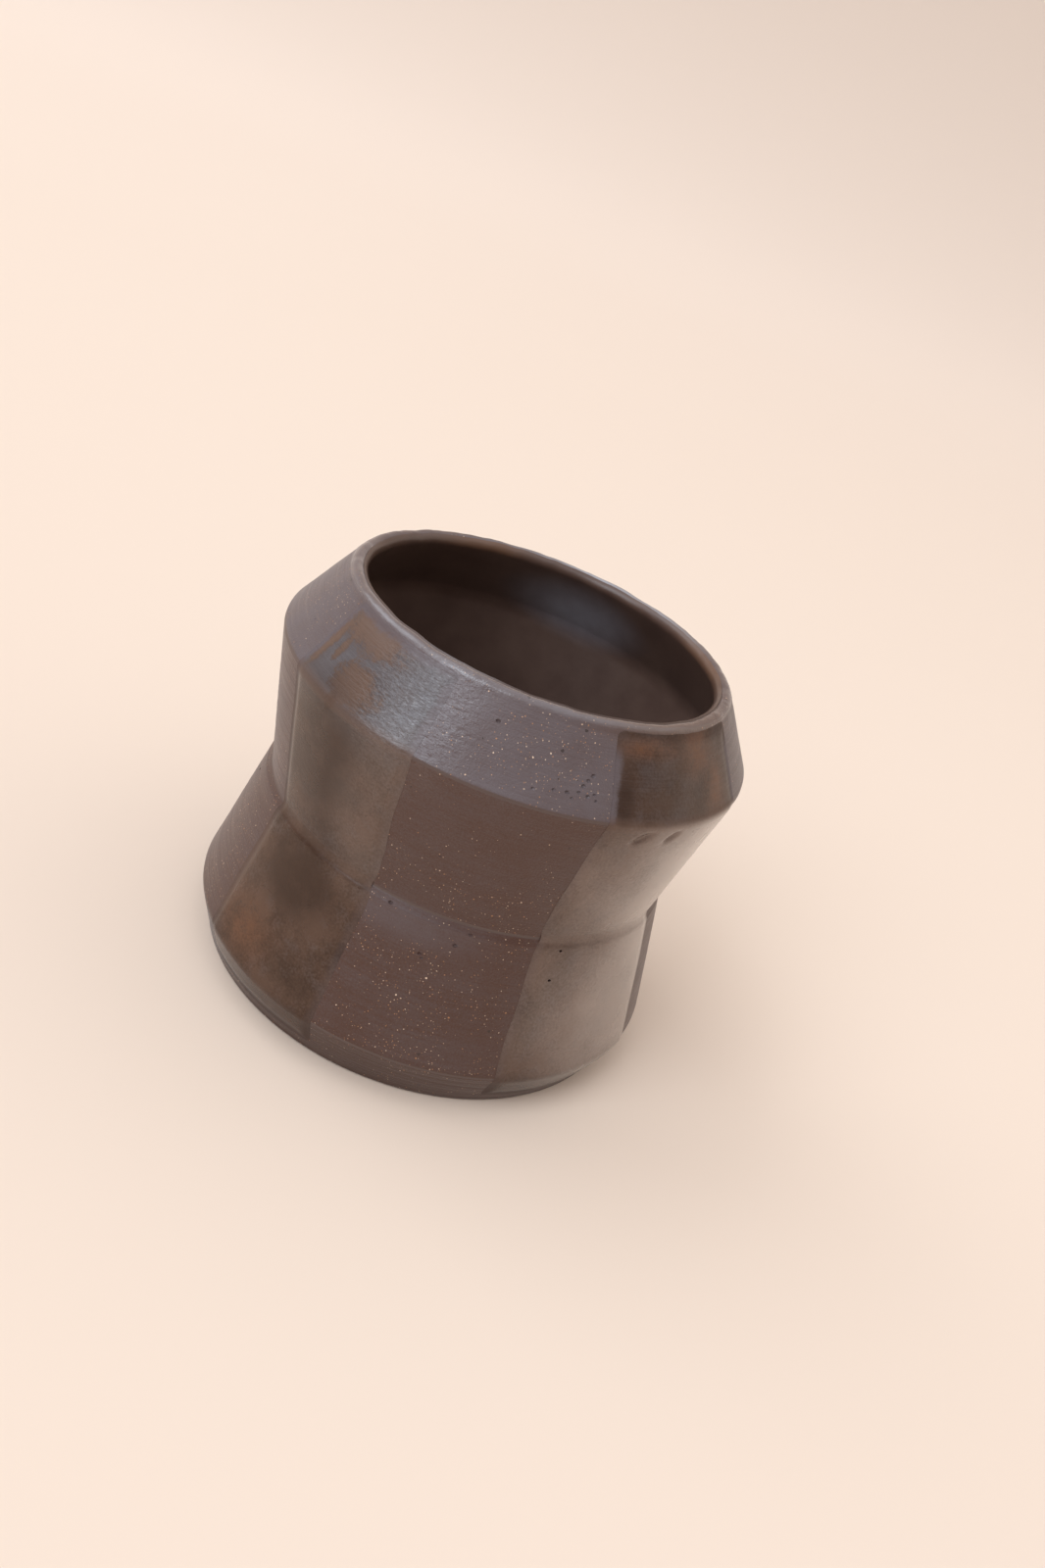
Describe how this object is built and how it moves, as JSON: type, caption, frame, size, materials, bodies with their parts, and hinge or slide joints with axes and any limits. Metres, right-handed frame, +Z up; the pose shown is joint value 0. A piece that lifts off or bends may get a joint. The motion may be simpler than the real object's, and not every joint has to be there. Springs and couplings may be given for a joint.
{
  "type": "handleless cup",
  "caption": "Handleless stoneware cup with a flared foot, a drawn-in waist and a shoulder closing in to a rounded lip, glazed inside, with upright satin glaze panels on its speckled outside.",
  "frame": {"origin": "centre of the foot, on the surface that the cup stands on", "axes": "+Z up along the axis that the cup is turned on; X and Y are any two level directions, because the cup is round"},
  "size_m": [0.0886, 0.0886, 0.0743],
  "materials": {
    "clay": "bare speckled purple-brown stoneware",
    "slip": "fired slip in the luted joints",
    "liner_glaze": "satin dark brown glaze",
    "panel_glaze": "satin olive-brown glaze"
  },
  "bodies": {
    "root": {"floor_disc": "clay", "lower_wall": "clay", "upper_wall": "clay", "shoulder_collar": "clay", "floor_luting": "slip", "waist_luting": "slip", "shoulder_luting": "slip", "liner_glaze": "liner_glaze", "glaze_panel_front_left": "panel_glaze", "glaze_panel_front_right": "panel_glaze", "glaze_panel_back_right": "panel_glaze", "glaze_panel_back_left": "panel_glaze"}
  },
  "joints": []
}
